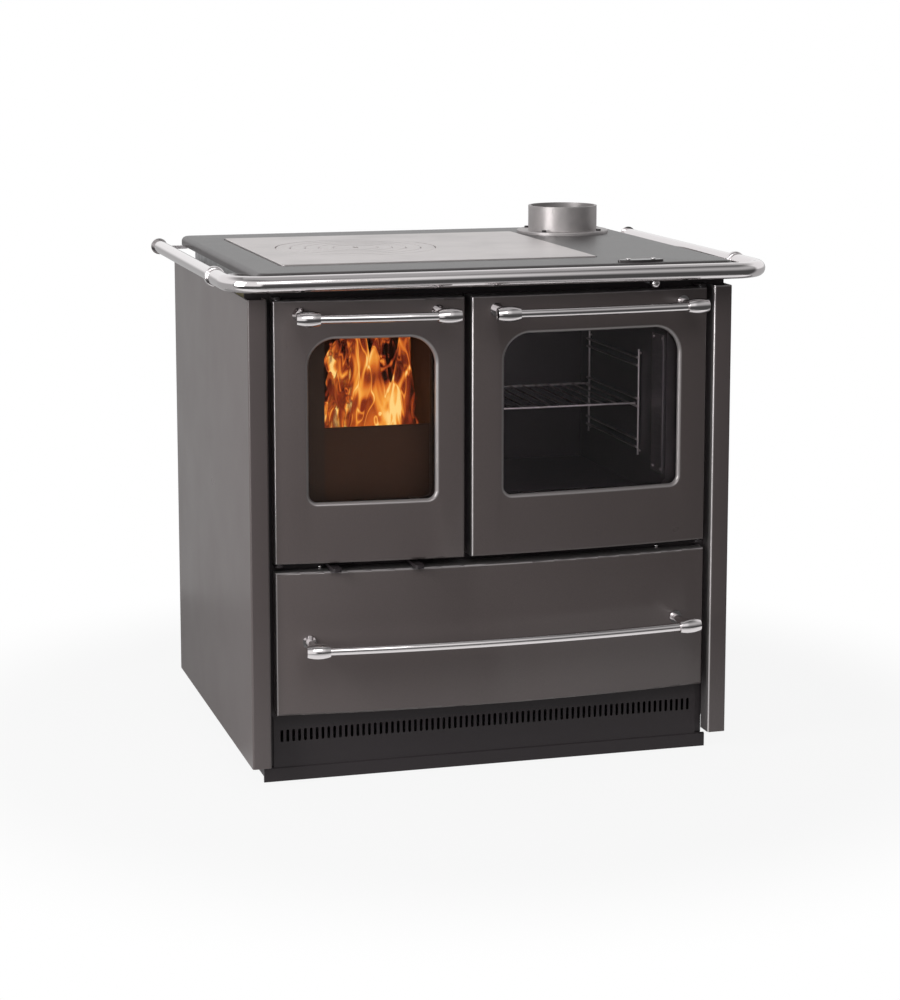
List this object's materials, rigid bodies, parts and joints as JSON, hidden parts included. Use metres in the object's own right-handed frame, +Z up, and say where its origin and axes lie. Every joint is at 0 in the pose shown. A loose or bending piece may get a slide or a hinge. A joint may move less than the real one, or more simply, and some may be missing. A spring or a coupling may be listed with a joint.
{
  "type": "wood cookstove",
  "caption": "Free-standing wood cookstove with a bowed front: firebox and oven doors over a log drawer, iron hob with lift-off rings, flue spigot and a tubular rail.",
  "frame": {"origin": "on the floor, under the middle of the stove's bounding box", "axes": "+X to the right as seen from in front of the doors, +Y to the back, +Z up"},
  "size_m": [0.942, 0.7875, 0.909],
  "materials": {
    "enamel_grey": "satin enamel",
    "enamel_anthracite": "satin enamel",
    "enamel_black": "satin black paint",
    "cast_iron": "polished casting",
    "machined_iron": "machined",
    "chrome": "polished",
    "galvanised_steel": "zinc-coated",
    "oven_enamel": "speckled enamel",
    "stainless_steel": "bright",
    "ceramic_glass": "clear, slightly tinted",
    "firebrick": "rough refractory board",
    "rope_seal": "braided glass fibre",
    "mineral_wool": "pressed board",
    "badge_plate": "dark, satin"
  },
  "bodies": {
    "stove": {"left_side_panel": "enamel_grey", "right_side_panel": "enamel_grey", "plinth_grille": "enamel_black", "base_frame": "enamel_black", "front_frame": "enamel_black", "hinge_brackets": "enamel_black", "flue_collar": "enamel_black", "top_frame": "cast_iron", "fire_grate": "cast_iron", "log_retainer": "cast_iron", "front_rail": "chrome", "side_rails": "chrome", "rail_fittings": "chrome", "rail_brackets": "chrome", "casing_screws": "chrome", "rear_panel": "galvanised_steel", "inner_side_walls": "galvanised_steel", "inner_back_wall": "galvanised_steel", "inner_floors": "galvanised_steel", "drawer_runners": "galvanised_steel", "ash_pan": "galvanised_steel", "flue_box": "galvanised_steel", "firebox_casing": "galvanised_steel", "levelling_feet": "galvanised_steel", "hinge_pins": "galvanised_steel", "door_catches": "galvanised_steel", "flue_collar_screws": "galvanised_steel", "oven_box": "oven_enamel", "oven_side_strips": "stainless_steel", "oven_shelf_supports": "stainless_steel", "firebricks": "firebrick", "side_insulation": "mineral_wool", "blank_badge": "badge_plate"},
    "firebox_door": {"firebox_door_panel": "enamel_anthracite", "firebox_door_liner": "enamel_black", "firebox_door_glass": "ceramic_glass", "firebox_door_seal": "rope_seal", "firebox_handle_bar": "chrome", "firebox_handle_ends": "chrome"},
    "oven_door": {"oven_door_panel": "enamel_anthracite", "oven_door_liner": "enamel_black", "oven_door_glass": "ceramic_glass", "oven_door_seal": "rope_seal", "oven_handle_bar": "chrome", "oven_handle_ends": "chrome"},
    "drawer": {"drawer_front": "enamel_anthracite", "drawer_box": "galvanised_steel", "drawer_handle_bar": "chrome", "drawer_handle_ends": "chrome"},
    "damper": {"damper_rod": "galvanised_steel", "damper_knob": "chrome"},
    "primary_air": {"primary_air_slide": "enamel_black"},
    "secondary_air": {"secondary_air_slide": "enamel_black"},
    "oven_rack": {"oven_shelf": "stainless_steel"},
    "plate": {"hob_plate": "machined_iron"},
    "ring_outer": {"hob_ring_outer": "machined_iron"},
    "ring_second": {"hob_ring_second": "machined_iron"},
    "ring_third": {"hob_ring_third": "machined_iron"},
    "ring_inner": {"hob_ring_inner": "machined_iron"},
    "ring_centre": {"hob_centre_disc": "machined_iron"}
  },
  "joints": [
    {"name": "firebox_door_hinge", "type": "hinge", "parent": "stove", "child": "firebox_door", "pos_m": [-0.366, -0.27675, 0.592], "axis": [0, 0, -1], "range_deg": [0, 100]},
    {"name": "oven_door_hinge", "type": "hinge", "parent": "stove", "child": "oven_door", "pos_m": [0.366, -0.27675, 0.592], "axis": [0, 0, 1], "range_deg": [0, 100]},
    {"name": "drawer_slide", "type": "slide", "parent": "stove", "child": "drawer", "axis": [0, -1, 0], "range_m": [0, 0.4]},
    {"name": "flue_damper_slide", "type": "slide", "parent": "stove", "child": "damper", "axis": [0, -1, 0], "range_m": [0, 0.09]},
    {"name": "primary_air_lever", "type": "slide", "parent": "stove", "child": "primary_air", "axis": [1, 0, 0], "range_m": [0, 0.03]},
    {"name": "secondary_air_lever", "type": "slide", "parent": "stove", "child": "secondary_air", "axis": [1, 0, 0], "range_m": [0, 0.03]},
    {"name": "oven_shelf_slide", "type": "slide", "parent": "stove", "child": "oven_rack", "axis": [0, -1, 0], "range_m": [0, 0.12]},
    {"name": "hob_plate_lift", "type": "slide", "parent": "stove", "child": "plate", "axis": [0, 0, 1], "range_m": [0, 0.1]},
    {"name": "outer_ring_lift", "type": "slide", "parent": "plate", "child": "ring_outer", "axis": [0, 0, 1], "range_m": [0, 0.1]},
    {"name": "second_ring_lift", "type": "slide", "parent": "ring_outer", "child": "ring_second", "axis": [0, 0, 1], "range_m": [0, 0.1]},
    {"name": "third_ring_lift", "type": "slide", "parent": "ring_second", "child": "ring_third", "axis": [0, 0, 1], "range_m": [0, 0.1]},
    {"name": "inner_ring_lift", "type": "slide", "parent": "ring_third", "child": "ring_inner", "axis": [0, 0, 1], "range_m": [0, 0.1]},
    {"name": "centre_disc_lift", "type": "slide", "parent": "ring_inner", "child": "ring_centre", "axis": [0, 0, 1], "range_m": [0, 0.1]}
  ]
}
